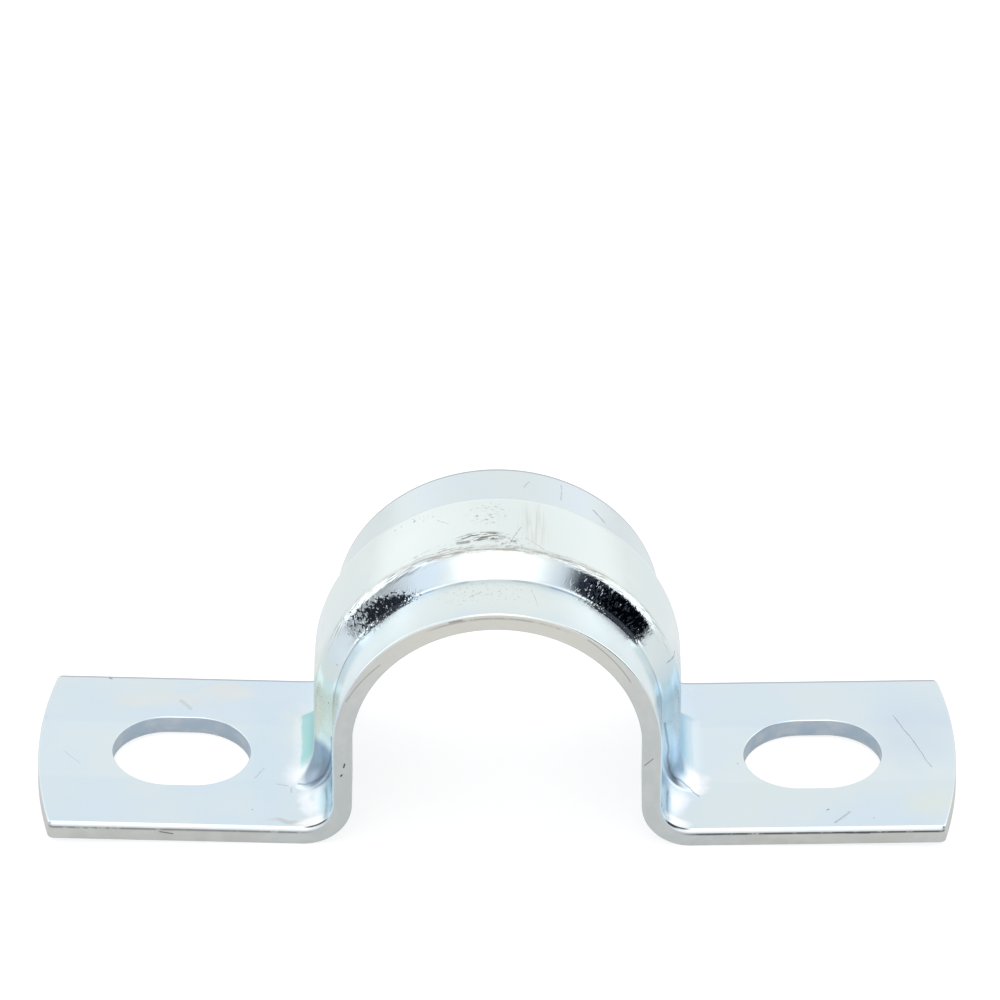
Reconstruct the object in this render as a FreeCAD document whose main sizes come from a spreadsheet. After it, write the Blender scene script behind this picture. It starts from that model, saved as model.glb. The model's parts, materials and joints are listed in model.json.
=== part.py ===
import FreeCAD, Part
import math
import os

import Sketcher

# Two-hole conduit strap, heavy pattern: one steel strip folded to two feet, two legs and a half-round arch.
# A flat-topped bead stands up along the middle of the arch and legs, and dies into the foot bends.
# It is pressed, so a groove lies under it and the wall keeps the strip's thickness throughout.
#
# Frame: origin at the middle of the feet's underside, which is the wall face.
# +X runs along the strap from slot to slot, +Y along the conduit, +Z away from the wall.

SIZES = [
    ("conduit_diameter", 26.7, "outside diameter of 3/4 inch rigid conduit"),
    ("bore_clearance", 0.15, "gap between conduit and arch, all round"),
    ("steel_thickness", 1.8, "strip thickness"),
    ("strap_width", 23.6, "strip width, along the conduit"),
    ("crown_height", 24.65, "wall face to the inside of the arch at its crown"),
    ("overall_length", 86.6, "foot end to foot end, at mid width"),
    ("end_radius", 50.0, "plan radius of the convex foot ends"),
    ("end_corner_radius", 0.3, "plan radius at the corners of the feet"),
    ("trim_allowance", 1.0, "how far the blank and the trimming cuts run past a finished edge"),
    ("bend_radius", 2.8, "concave radius between leg and foot"),
    ("bead_height", 1.9, "bead face above the strip"),
    ("bead_top_width", 8.5, "bead face, between its sharp corners"),
    ("bead_flank_angle", 45.0, "slope of the bead flanks, in degrees"),
    ("bead_shoulder_radius", 1.0, "convex radius along the bead face"),
    ("bead_root_radius", 1.0, "concave radius around the foot of the bead"),
    ("groove_dip", 0.05, "how far the groove's exit curve dips below the wall face"),
    ("slot_spacing", 59.6, "slot centre to slot centre"),
    ("slot_length", 13.0, "slot length over its round ends"),
    ("slot_width", 10.7, "slot width"),
    ("edge_radius", 0.45, "rolled-over top edge all round the blank"),
    ("slot_edge_break", 0.2, "broken top rim of each slot"),
]

# Derived sizes, as expressions on the sheet's cells. A reach is measured out from the arch's axis,
# or on a leg from the strap's mid plane.
ARCH_INNER = "(sizes.conduit_diameter / 2 + sizes.bore_clearance)"
ARCH_OUTER = f"({ARCH_INNER} + sizes.steel_thickness)"
ARCH_AXIS_HEIGHT = f"(sizes.crown_height - {ARCH_INNER})"
FLANK_SLOPE = "tan(sizes.bead_flank_angle * 1 deg)"
HALF_FLANK_SLOPE = "tan(sizes.bead_flank_angle * 0.5 deg)"
BEAD_FACE = f"({ARCH_OUTER} + sizes.bead_height)"
BEAD_SEAT = f"({ARCH_OUTER} - sizes.steel_thickness / 4)"
BEAD_ROOT_WIDTH = f"(sizes.bead_top_width + 2 * sizes.bead_height / {FLANK_SLOPE})"
GROOVE_FACE = f"({BEAD_FACE} - sizes.steel_thickness)"
GROOVE_OPEN_SIDE = f"({ARCH_INNER} - sizes.trim_allowance)"
GROOVE_TOP_WIDTH = f"(sizes.bead_top_width - 2 * sizes.steel_thickness * {HALF_FLANK_SLOPE})"
GROOVE_FLARE = "(sizes.bead_root_radius + sizes.steel_thickness)"
GROOVE_SHARP_WIDTH = f"({GROOVE_TOP_WIDTH} + 2 * sizes.bead_height / {FLANK_SLOPE})"
GROOVE_MOUTH_WIDTH = f"({GROOVE_SHARP_WIDTH} + 2 * {GROOVE_FLARE} * {HALF_FLANK_SLOPE})"
EXIT_AXIS_REACH = f"({BEAD_FACE} + sizes.bead_root_radius)"
EXIT_AXIS_HEIGHT = "(sizes.steel_thickness + sizes.bead_root_radius - sizes.groove_dip)"
HALF_BLANK = "(sizes.overall_length / 2 + sizes.trim_allowance)"
END_CENTRE_REACH = "(sizes.overall_length / 2 - sizes.end_radius)"

ON_EDGE = 0.001


def make_sheet(doc):
    """Hold the driving dimensions in a spreadsheet, one alias to a row."""
    sheet = doc.addObject("Spreadsheet::Sheet", "sizes")
    for row, (alias, size, meaning) in enumerate(SIZES, start=1):
        sheet.set(f"A{row}", alias)
        sheet.set(f"B{row}", str(size))
        sheet.set(f"C{row}", meaning)
        sheet.setAlias(f"B{row}", alias)
    doc.recompute()


def number(owner, expression):
    """Evaluate an expression on the sheet's cells as a plain number."""
    result = owner.evalExpression(expression)
    return float(getattr(result, "Value", result))


def origin_plane(body, role):
    """Find one of the body's own origin planes."""
    return next(item for item in body.Origin.OriginFeatures if item.Role == role)


# Sketching


def new_sketch(body, name, plane_role):
    """Put an empty sketch on one of the body's origin planes."""
    sketch = body.newObject("Sketcher::SketchObject", name)
    sketch.AttachmentSupport = [(origin_plane(body, plane_role), "")]
    sketch.MapMode = "FlatFace"
    return sketch


def line(sketch, start, end):
    """Draw a straight edge and return its index."""
    edge = Part.LineSegment(FreeCAD.Vector(*start, 0), FreeCAD.Vector(*end, 0))
    return sketch.addGeometry(edge, False)


def arc(sketch, centre, radius, start_degrees, end_degrees):
    """Draw an arc, anticlockwise from its start angle, and return its index."""
    circle = Part.Circle(FreeCAD.Vector(*centre, 0), FreeCAD.Vector(0, 0, 1), radius)
    edge = Part.ArcOfCircle(circle, math.radians(start_degrees), math.radians(end_degrees))
    return sketch.addGeometry(edge, False)


def constrain(sketch, kind, *references):
    """Add a constraint and return its index. -1 and -2 name the sketch's X and Y axes."""
    return sketch.addConstraint(Sketcher.Constraint(kind, *references))


def bind(sketch, name, kind, references, expression):
    """Add a named dimension and tie it to the sheet."""
    index = constrain(sketch, kind, *references, number(sketch, expression))
    sketch.renameConstraint(index, name)
    sketch.setExpression(f"Constraints.{name}", expression)


def join(sketch, first, second, smooth):
    """Join the nearest ends of two edges, with a common tangent if smooth."""
    ends = []
    for first_end in (1, 2):
        for second_end in (1, 2):
            first_point = sketch.getPoint(first, first_end)
            second_point = sketch.getPoint(second, second_end)
            ends.append((first_point.distanceToPoint(second_point), first_end, second_end))
    _, first_end, second_end = min(ends)
    constrain(sketch, "Tangent" if smooth else "Coincident", first, first_end, second, second_end)


# Folded strip


def draw_foot(sketch, side, arch_outer, arch_inner):
    """Draw one leg and foot of the strip's edge view and return its edges by name."""
    inner = number(sketch, ARCH_INNER)
    outer = number(sketch, ARCH_OUTER)
    axis_height = number(sketch, ARCH_AXIS_HEIGHT)
    thickness = number(sketch, "sizes.steel_thickness")
    bend = number(sketch, "sizes.bend_radius")
    end = number(sketch, HALF_BLANK)
    centre = (side * (outer + bend), thickness + bend)
    quadrant = (180, 270) if side > 0 else (270, 360)
    edges = {
        "leg_outer": line(sketch, (side * outer, axis_height), (side * outer, centre[1])),
        "bend_outer": arc(sketch, centre, bend, *quadrant),
        "foot_top": line(sketch, (centre[0], thickness), (side * end, thickness)),
        "foot_end": line(sketch, (side * end, thickness), (side * end, 0)),
        "foot_under": line(sketch, (side * end, 0), (centre[0], 0)),
        "bend_inner": arc(sketch, centre, bend + thickness, *quadrant),
        "leg_inner": line(sketch, (side * inner, centre[1]), (side * inner, axis_height)),
    }
    join(sketch, arch_outer, edges["leg_outer"], True)
    join(sketch, edges["leg_outer"], edges["bend_outer"], True)
    join(sketch, edges["bend_outer"], edges["foot_top"], True)
    join(sketch, edges["foot_top"], edges["foot_end"], False)
    join(sketch, edges["foot_end"], edges["foot_under"], False)
    join(sketch, edges["foot_under"], edges["bend_inner"], True)
    join(sketch, edges["bend_inner"], edges["leg_inner"], True)
    join(sketch, edges["leg_inner"], arch_inner, True)
    constrain(sketch, "Vertical", edges["leg_outer"])
    constrain(sketch, "Horizontal", edges["foot_top"])
    constrain(sketch, "Horizontal", edges["foot_under"])
    constrain(sketch, "Coincident", edges["bend_outer"], 3, edges["bend_inner"], 3)
    return edges


def make_strip(body):
    """Fold the plain strip: its edge view, extruded to the strap's width."""
    sketch = new_sketch(body, "strip_profile", "XZ_Plane")
    centre = (0, number(sketch, ARCH_AXIS_HEIGHT))
    arch_outer = arc(sketch, centre, number(sketch, ARCH_OUTER), 0, 180)
    arch_inner = arc(sketch, centre, number(sketch, ARCH_INNER), 0, 180)
    right = draw_foot(sketch, 1, arch_outer, arch_inner)
    left = draw_foot(sketch, -1, arch_outer, arch_inner)
    right_end = right["foot_end"]
    left_end = left["foot_end"]
    constrain(sketch, "Coincident", arch_outer, 3, arch_inner, 3)
    constrain(sketch, "PointOnObject", arch_inner, 3, -2)
    constrain(sketch, "PointOnObject", right_end, 2, -1)
    constrain(sketch, "Vertical", right_end)
    constrain(sketch, "Symmetric", right_end, 1, left_end, 1, -2)
    constrain(sketch, "Symmetric", right_end, 2, left_end, 2, -2)
    constrain(sketch, "Equal", right["bend_outer"], left["bend_outer"])
    bind(sketch, "axis_height", "DistanceY", (-1, 1, arch_inner, 3), ARCH_AXIS_HEIGHT)
    bind(sketch, "arch_inner", "Radius", (arch_inner,), ARCH_INNER)
    bind(sketch, "arch_outer", "Radius", (arch_outer,), ARCH_OUTER)
    bind(sketch, "bend", "Radius", (right["bend_outer"],), "sizes.bend_radius")
    bind(sketch, "thickness", "DistanceY", (right_end, 2, right_end, 1), "sizes.steel_thickness")
    bind(sketch, "half_blank", "DistanceX", (-1, 1, right_end, 1), HALF_BLANK)
    strip = body.newObject("PartDesign::Pad", "folded_strip")
    strip.Profile = sketch
    strip.SideType = "Symmetric"
    strip.setExpression("Length", "sizes.strap_width")


# Bead and groove. Their sections have X across the strap and Y outwards.


def place_on_arch(sketch):
    """Lift a section on the YZ plane so that its X axis is the arch's axis."""
    sketch.setExpression("AttachmentOffset.Base.y", ARCH_AXIS_HEIGHT)


def place_on_leg(sketch, height):
    """Turn a section on the XY plane so that its Y axis points along the right foot, and lift it."""
    turn = FreeCAD.Rotation(FreeCAD.Vector(0, 0, 1), -90)
    sketch.AttachmentOffset = FreeCAD.Placement(FreeCAD.Vector(0, 0, 0), turn)
    sketch.setExpression("AttachmentOffset.Base.z", height)


def bead_section(body, name, plane_role):
    """Draw the bead: a flat face, rounded shoulders and sloping flanks that end inside the wall."""
    sketch = new_sketch(body, name, plane_role)
    face_width = f"sizes.bead_top_width - 2 * sizes.bead_shoulder_radius * {HALF_FLANK_SLOPE}"
    seat_width = f"sizes.bead_top_width + 2 * ({BEAD_FACE} - {BEAD_SEAT}) / {FLANK_SLOPE}"
    angle = number(sketch, "sizes.bead_flank_angle")
    radius = number(sketch, "sizes.bead_shoulder_radius")
    face = number(sketch, BEAD_FACE)
    seat = number(sketch, BEAD_SEAT)
    half_face = number(sketch, face_width) / 2
    half_seat = number(sketch, seat_width) / 2
    shoulder_end = half_face + radius * math.sin(math.radians(angle))
    shoulder_foot = face - radius * (1 - math.cos(math.radians(angle)))
    top = line(sketch, (-half_face, face), (half_face, face))
    right_shoulder = arc(sketch, (half_face, face - radius), radius, 90 - angle, 90)
    right_flank = line(sketch, (shoulder_end, shoulder_foot), (half_seat, seat))
    bottom = line(sketch, (half_seat, seat), (-half_seat, seat))
    left_flank = line(sketch, (-half_seat, seat), (-shoulder_end, shoulder_foot))
    left_shoulder = arc(sketch, (-half_face, face - radius), radius, 90, 90 + angle)
    join(sketch, top, right_shoulder, True)
    join(sketch, right_shoulder, right_flank, True)
    join(sketch, right_flank, bottom, False)
    join(sketch, bottom, left_flank, False)
    join(sketch, left_flank, left_shoulder, True)
    join(sketch, left_shoulder, top, True)
    constrain(sketch, "Symmetric", top, 1, top, 2, -2)
    constrain(sketch, "Symmetric", bottom, 1, bottom, 2, -2)
    constrain(sketch, "Equal", right_shoulder, left_shoulder)
    bind(sketch, "shoulder", "Radius", (right_shoulder,), "sizes.bead_shoulder_radius")
    bind(sketch, "face_width", "DistanceX", (top, 1, top, 2), face_width)
    bind(sketch, "face_reach", "DistanceY", (-1, 1, top, 2), BEAD_FACE)
    bind(sketch, "seat_width", "DistanceX", (bottom, 2, bottom, 1), seat_width)
    bind(sketch, "seat_reach", "DistanceY", (-1, 1, bottom, 1), BEAD_SEAT)
    return sketch


def make_bead(body):
    """Raise the bead over the arch and down the outside of each leg, into the foot bends."""
    arch_sketch = bead_section(body, "bead_arch_section", "YZ_Plane")
    place_on_arch(arch_sketch)
    arch = body.newObject("PartDesign::Revolution", "bead_on_arch")
    arch.Profile = arch_sketch
    arch.ReferenceAxis = (arch_sketch, ["H_Axis"])
    arch.Midplane = True
    arch.Angle = 180
    leg_sketch = bead_section(body, "bead_leg_section", "XY_Plane")
    place_on_leg(leg_sketch, ARCH_AXIS_HEIGHT)
    leg = body.newObject("PartDesign::Pad", "bead_on_leg")
    leg.Profile = leg_sketch
    leg.Reversed = True
    leg.setExpression("Length", f"{ARCH_AXIS_HEIGHT} - sizes.steel_thickness")
    mirror_to_left(body, "bead_on_left_leg", [leg])


def draw_groove_side(sketch, side, top, bottom):
    """Draw one side of the groove: flank, flared mouth, and a drop clear of the wall."""
    angle = number(sketch, "sizes.bead_flank_angle")
    flare = number(sketch, GROOVE_FLARE)
    wall = number(sketch, ARCH_INNER)
    half_mouth = side * number(sketch, GROOVE_MOUTH_WIDTH) / 2
    flare_start = half_mouth - side * flare * math.sin(math.radians(angle))
    flare_rise = flare * (1 - math.cos(math.radians(angle)))
    flare_span = (270 - angle, 270) if side > 0 else (270, 270 + angle)
    corner = (side * number(sketch, GROOVE_TOP_WIDTH) / 2, number(sketch, GROOVE_FACE))
    edges = {
        "flank": line(sketch, corner, (flare_start, wall + flare_rise)),
        "flare": arc(sketch, (half_mouth, wall + flare), flare, *flare_span),
        "drop": line(sketch, (half_mouth, wall), (half_mouth, number(sketch, GROOVE_OPEN_SIDE))),
    }
    join(sketch, top, edges["flank"], False)
    join(sketch, edges["flank"], edges["flare"], True)
    join(sketch, edges["flare"], edges["drop"], False)
    join(sketch, edges["drop"], bottom, False)
    constrain(sketch, "Perpendicular", edges["flare"], edges["drop"])
    return edges


def groove_section(body, name, plane_role):
    """Draw the groove: the bead's section a wall's thickness in, flaring into the bore."""
    sketch = new_sketch(body, name, plane_role)
    half_top = number(sketch, GROOVE_TOP_WIDTH) / 2
    half_mouth = number(sketch, GROOVE_MOUTH_WIDTH) / 2
    face = number(sketch, GROOVE_FACE)
    open_side = number(sketch, GROOVE_OPEN_SIDE)
    top = line(sketch, (-half_top, face), (half_top, face))
    bottom = line(sketch, (half_mouth, open_side), (-half_mouth, open_side))
    right = draw_groove_side(sketch, 1, top, bottom)
    left = draw_groove_side(sketch, -1, top, bottom)
    constrain(sketch, "Vertical", right["drop"])
    constrain(sketch, "Symmetric", top, 1, top, 2, -2)
    constrain(sketch, "Symmetric", bottom, 1, bottom, 2, -2)
    constrain(sketch, "Symmetric", right["drop"], 1, left["drop"], 1, -2)
    constrain(sketch, "Equal", right["flare"], left["flare"])
    bind(sketch, "flare", "Radius", (right["flare"],), GROOVE_FLARE)
    bind(sketch, "face_width", "DistanceX", (top, 1, top, 2), GROOVE_TOP_WIDTH)
    bind(sketch, "face_reach", "DistanceY", (-1, 1, top, 2), GROOVE_FACE)
    bind(sketch, "mouth_width", "DistanceX", (bottom, 2, bottom, 1), GROOVE_MOUTH_WIDTH)
    bind(sketch, "wall_reach", "DistanceY", (-1, 1, right["drop"], 1), ARCH_INNER)
    bind(sketch, "open_reach", "DistanceY", (-1, 1, bottom, 1), GROOVE_OPEN_SIDE)
    return sketch


def add_exit_axis(sketch):
    """Draw the axis about which the groove turns from the leg out under the foot."""
    half_axis = number(sketch, "sizes.bead_top_width") / 2
    reach = number(sketch, EXIT_AXIS_REACH)
    axis = line(sketch, (-half_axis, reach), (half_axis, reach))
    sketch.setConstruction(axis, True)
    constrain(sketch, "Symmetric", axis, 1, axis, 2, -2)
    bind(sketch, "axis_length", "DistanceX", (axis, 1, axis, 2), "sizes.bead_top_width")
    bind(sketch, "axis_reach", "DistanceY", (-1, 1, axis, 1), EXIT_AXIS_REACH)


def make_groove(body):
    """Sink the groove under the bead: round the arch, down each leg and out through the foot bend."""
    arch_sketch = groove_section(body, "groove_arch_section", "YZ_Plane")
    place_on_arch(arch_sketch)
    arch = body.newObject("PartDesign::Groove", "groove_in_arch")
    arch.Profile = arch_sketch
    arch.ReferenceAxis = (arch_sketch, ["H_Axis"])
    arch.Midplane = True
    arch.Angle = 180
    leg_sketch = groove_section(body, "groove_leg_section", "XY_Plane")
    place_on_leg(leg_sketch, ARCH_AXIS_HEIGHT)
    leg = body.newObject("PartDesign::Pocket", "groove_in_leg")
    leg.Profile = leg_sketch
    leg.setExpression("Length", f"{ARCH_AXIS_HEIGHT} - {EXIT_AXIS_HEIGHT}")
    exit_sketch = groove_section(body, "groove_exit_section", "XY_Plane")
    place_on_leg(exit_sketch, EXIT_AXIS_HEIGHT)
    add_exit_axis(exit_sketch)
    way_out = body.newObject("PartDesign::Groove", "groove_exit")
    way_out.Profile = exit_sketch
    way_out.ReferenceAxis = (exit_sketch, ["Axis0"])
    way_out.Angle = 90
    mirror_to_left(body, "groove_in_left_leg", [leg, way_out])


# Feet


def cut_through(body, name, sketch):
    """Cut an outline right through the foot."""
    pocket = body.newObject("PartDesign::Pocket", name)
    pocket.Profile = sketch
    pocket.Type = "ThroughAll"
    pocket.SideType = "Symmetric"
    return pocket


def cut_slot(body):
    """Punch the obround slot of the right foot."""
    sketch = new_sketch(body, "slot_outline", "XY_Plane")
    near_centre = "(sizes.slot_spacing - sizes.slot_length + sizes.slot_width) / 2"
    centre_gap = "sizes.slot_length - sizes.slot_width"
    radius = number(sketch, "sizes.slot_width / 2")
    near = number(sketch, near_centre)
    far = near + number(sketch, centre_gap)
    near_end = arc(sketch, (near, 0), radius, 90, 270)
    front = line(sketch, (near, -radius), (far, -radius))
    far_end = arc(sketch, (far, 0), radius, -90, 90)
    rear = line(sketch, (far, radius), (near, radius))
    join(sketch, near_end, front, True)
    join(sketch, front, far_end, True)
    join(sketch, far_end, rear, True)
    join(sketch, rear, near_end, True)
    constrain(sketch, "PointOnObject", near_end, 3, -1)
    constrain(sketch, "PointOnObject", far_end, 3, -1)
    constrain(sketch, "Equal", near_end, far_end)
    bind(sketch, "end_radius", "Radius", (near_end,), "sizes.slot_width / 2")
    bind(sketch, "near_centre", "DistanceX", (-1, 1, near_end, 3), near_centre)
    bind(sketch, "centre_gap", "DistanceX", (near_end, 3, far_end, 3), centre_gap)
    return cut_through(body, "slot", sketch)


def trim_end(body):
    """Trim the right foot to its convex end."""
    sketch = new_sketch(body, "foot_end_trim", "XY_Plane")
    half_width = "(sizes.strap_width / 2 + sizes.trim_allowance)"
    beyond_blank = f"({HALF_BLANK} + sizes.trim_allowance)"
    radius = number(sketch, "sizes.end_radius")
    centre = number(sketch, END_CENTRE_REACH)
    side = number(sketch, half_width)
    far = number(sketch, beyond_blank)
    half_angle = math.asin(side / radius)
    near = centre + radius * math.cos(half_angle)
    end = arc(sketch, (centre, 0), radius, -math.degrees(half_angle), math.degrees(half_angle))
    front = line(sketch, (near, -side), (far, -side))
    beyond = line(sketch, (far, -side), (far, side))
    rear = line(sketch, (far, side), (near, side))
    join(sketch, end, front, False)
    join(sketch, front, beyond, False)
    join(sketch, beyond, rear, False)
    join(sketch, rear, end, False)
    constrain(sketch, "PointOnObject", end, 3, -1)
    constrain(sketch, "Horizontal", front)
    constrain(sketch, "Horizontal", rear)
    constrain(sketch, "Symmetric", beyond, 1, beyond, 2, -1)
    bind(sketch, "end_radius", "Radius", (end,), "sizes.end_radius")
    bind(sketch, "end_centre", "DistanceX", (end, 3, -1, 1), f"-{END_CENTRE_REACH}")
    bind(sketch, "beyond_blank", "DistanceX", (-1, 1, beyond, 1), beyond_blank)
    bind(sketch, "half_width", "DistanceY", (-1, 1, beyond, 2), half_width)
    return cut_through(body, "foot_end", sketch)


def mirror_to_left(body, name, features):
    """Repeat features of the right side on the left."""
    mirrored = body.newObject("PartDesign::Mirrored", name)
    mirrored.Originals = features
    mirrored.MirrorPlane = (origin_plane(body, "YZ_Plane"), [""])
    body.Tip = mirrored


# Edges


def edges_through(shape, points):
    """Name the edges of a shape that pass through any of the points."""
    names = []
    for index, edge in enumerate(shape.Edges, start=1):
        if any(edge.distToShape(Part.Vertex(point))[0] < ON_EDGE for point in points):
            names.append(f"Edge{index}")
    return names


def break_edges(body, kind, name, points, size_name, expression):
    """Round or chamfer the edges through the points, and the edges that run on from them smoothly."""
    body.Document.recompute()
    base = body.Tip
    feature = body.newObject(f"PartDesign::{kind}", name)
    feature.Base = (base, edges_through(base.Shape, points))
    feature.setExpression(size_name, expression)


def blend_bead_root(body):
    """Blend the foot of the bead into the strip, all round its outline and over both toes."""
    crown = number(body, f"{ARCH_AXIS_HEIGHT} + {ARCH_OUTER}")
    root = number(body, BEAD_ROOT_WIDTH) / 2
    points = [FreeCAD.Vector(0, side * root, crown) for side in (-1, 1)]
    break_edges(body, "Fillet", "bead_root", points, "Radius", "sizes.bead_root_radius")


def round_foot_corners(body):
    """Round the four corners of the feet in plan."""
    half_width = number(body, "sizes.strap_width / 2")
    reach = number(body, f"{END_CENTRE_REACH} + sqrt(sizes.end_radius ^ 2 - (sizes.strap_width / 2) ^ 2)")
    middle = number(body, "sizes.steel_thickness / 2")
    points = [FreeCAD.Vector(x, y, middle) for x in (-reach, reach) for y in (-half_width, half_width)]
    break_edges(body, "Fillet", "foot_corners", points, "Radius", "sizes.end_corner_radius")


def roll_top_edges(body):
    """Roll over the top edge all round the blank, as the shearing leaves it."""
    crown = number(body, f"{ARCH_AXIS_HEIGHT} + {ARCH_OUTER}")
    half_width = number(body, "sizes.strap_width / 2")
    points = [FreeCAD.Vector(0, side * half_width, crown) for side in (-1, 1)]
    break_edges(body, "Fillet", "rolled_edge", points, "Radius", "sizes.edge_radius")


def break_slot_rims(body):
    """Break the top rim of both slots."""
    top = number(body, "sizes.steel_thickness")
    centre = number(body, "sizes.slot_spacing / 2")
    side = number(body, "sizes.slot_width / 2")
    points = [FreeCAD.Vector(x, side, top) for x in (-centre, centre)]
    break_edges(body, "Chamfer", "slot_rims", points, "Size", "sizes.slot_edge_break")


def make_strap(doc):
    """Build the strap as one body."""
    body = doc.addObject("PartDesign::Body", "strap")
    make_strip(body)
    make_bead(body)
    make_groove(body)
    slot = cut_slot(body)
    foot_end = trim_end(body)
    mirror_to_left(body, "left_foot_cuts", [slot, foot_end])
    blend_bead_root(body)
    round_foot_corners(body)
    roll_top_edges(body)
    break_slot_rims(body)
    return body


# Checks


def check_document(doc, part):
    """Stop if any object failed or the part is not one valid solid."""
    failed = [item.Name for item in doc.Objects if {"Invalid", "Error"} & set(item.State)]
    if failed:
        raise RuntimeError(f"failed objects: {failed}")
    shape = part.Shape
    if shape.isNull() or not shape.isValid() or len(shape.Solids) != 1:
        raise RuntimeError(f"bad shape: {part.Label}")


def check_features(body):
    """Stop if any feature leaves the volume as it was."""
    solid = [item for item in body.Group if item.isDerivedFrom("PartDesign::Feature")]
    for before, after in zip(solid, solid[1:]):
        if abs(after.Shape.Volume - before.Shape.Volume) < ON_EDGE:
            raise RuntimeError(f"{after.Name} changes nothing")


def main():
    doc = FreeCAD.newDocument("conduit_strap")
    make_sheet(doc)
    strap = make_strap(doc)
    doc.recompute()
    check_document(doc, strap)
    check_features(strap)
    os.makedirs("parts", exist_ok=True)
    strap.Shape.exportStep(f"parts/{strap.Label}.step")


main()
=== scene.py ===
import json
import math

import bpy
import numpy as np
from mathutils import Matrix, Vector


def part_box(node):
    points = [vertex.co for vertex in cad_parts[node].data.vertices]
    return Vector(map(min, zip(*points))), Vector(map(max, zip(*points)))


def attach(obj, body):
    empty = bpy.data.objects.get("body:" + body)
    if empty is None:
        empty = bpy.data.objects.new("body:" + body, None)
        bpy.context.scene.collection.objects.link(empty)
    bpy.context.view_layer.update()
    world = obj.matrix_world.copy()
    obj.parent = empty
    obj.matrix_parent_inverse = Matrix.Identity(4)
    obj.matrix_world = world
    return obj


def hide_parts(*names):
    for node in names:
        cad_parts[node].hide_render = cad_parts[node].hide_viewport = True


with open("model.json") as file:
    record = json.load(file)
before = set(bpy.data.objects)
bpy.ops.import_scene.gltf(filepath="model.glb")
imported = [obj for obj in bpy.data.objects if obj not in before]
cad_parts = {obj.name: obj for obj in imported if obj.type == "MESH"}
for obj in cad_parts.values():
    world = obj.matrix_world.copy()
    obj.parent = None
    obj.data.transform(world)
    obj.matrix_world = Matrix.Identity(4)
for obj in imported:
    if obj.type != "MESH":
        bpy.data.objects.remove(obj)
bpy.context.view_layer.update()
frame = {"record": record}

# A conduit strap of zinc-plated steel. Its sheet is one mesh, worked out station by station along the
# strap. Every vertex keeps its place on the flat sheet, where the material puts tints, dirt, scratches and
# painted highlights, shade and reflections.

MM = 0.001
MOUNTS = {mount["name"]: mount for mount in frame["record"]["mounts"]}
SADDLE = MOUNTS["conduit_saddle"]
SLOTS = MOUNTS["foot_slots"]
BOX_LOW, BOX_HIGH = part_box("strap")

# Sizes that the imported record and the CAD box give, in metres.
ARCH_INNER = SADDLE["dims"]["r_mm"] * MM
ARCH_AXIS = SADDLE["pos_m"][2]
HALF_WIDTH = BOX_HIGH.y
HALF_LENGTH = BOX_HIGH.x
SLOT_REACH = SLOTS["dims"]["spacing_x_mm"] * MM / 2
SLOT_RADIUS = SLOTS["dims"]["hole_r_mm"] * MM
SLOT_HALF_RUN = SLOTS["dims"]["slot_length_mm"] * MM / 2 - SLOT_RADIUS

# The sheet, its bends and its ends, as in the CAD source. The bend is slacker beside the bead, and gets
# its own radius again over SLACK_FADE. Each foot lifts a little from the wall.
STEEL = 1.8 * MM
ARCH_OUTER = ARCH_INNER + STEEL
BEND_RADIUS = 2.8 * MM
BEND_RADIUS_AT_BEAD = 4.0 * MM
SLACK_HALF_WIDTH = 6.5 * MM
SLACK_FADE = 4.3 * MM
LEG_MARGIN = 0.5 * MM
FOOT_LIFT = math.radians(1.3)
END_RADIUS = 50.0 * MM
END_CORNER = 0.6 * MM

# The bead, with flanks at 45 degrees. Its shoulder is crisp over the crown and grows slacker down the
# legs. An exit curve is the radius by which a pressed face turns out onto the foot, and the level where
# it ends.
BEAD_HEIGHT = BOX_HIGH.z - ARCH_AXIS - ARCH_OUTER
BEAD_FACE = ARCH_OUTER + BEAD_HEIGHT
BEAD_HALF_TOP = 4.25 * MM
BEAD_CROWN = 0.05 * MM
FLANK_SLOPE = math.sqrt(0.5)
FLANK_ROOT = 0.7 * MM
FLANK_ROOT_AT_TOE = 0.4 * MM
TOE_LANDING = 1.2 * MM
SHOULDER_AT_CROWN = 0.9 * MM
SHOULDER_AT_LEG = 2.4 * MM
SHOULDER_CRISP_RUN = 5 * MM
SHOULDER_FADE = 17 * MM
NOSE_EXIT = (3.0 * MM, STEEL - 0.04 * MM)

# The groove under the bead, one sheet thickness below it.
GROOVE_FACE = BEAD_FACE - STEEL
GROOVE_HALF_TOP = BEAD_HALF_TOP - STEEL * math.tan(math.radians(22.5))
GROOVE_CORNER = 0.4 * MM
GROOVE_FLARE = 2.8 * MM
GROOVE_EXIT = (2.8 * MM, -0.05 * MM)

# The sheared edges: the top is rolled over, most along the front of the feet, and the bottom keeps a
# small burr.
FRONT_ROLL = 0.45 * MM
ARCH_ROLL = 0.18 * MM
REAR_ROLL = 0.22 * MM
SLOT_RIM = 0.1 * MM
BURR = 0.06 * MM


def blend(first, second, share):
    return first + (second - first) * share


def eased(share):
    """A share from 0 to 1 that starts and ends softly."""
    return share ** 2 * (3 - 2 * share)


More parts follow.
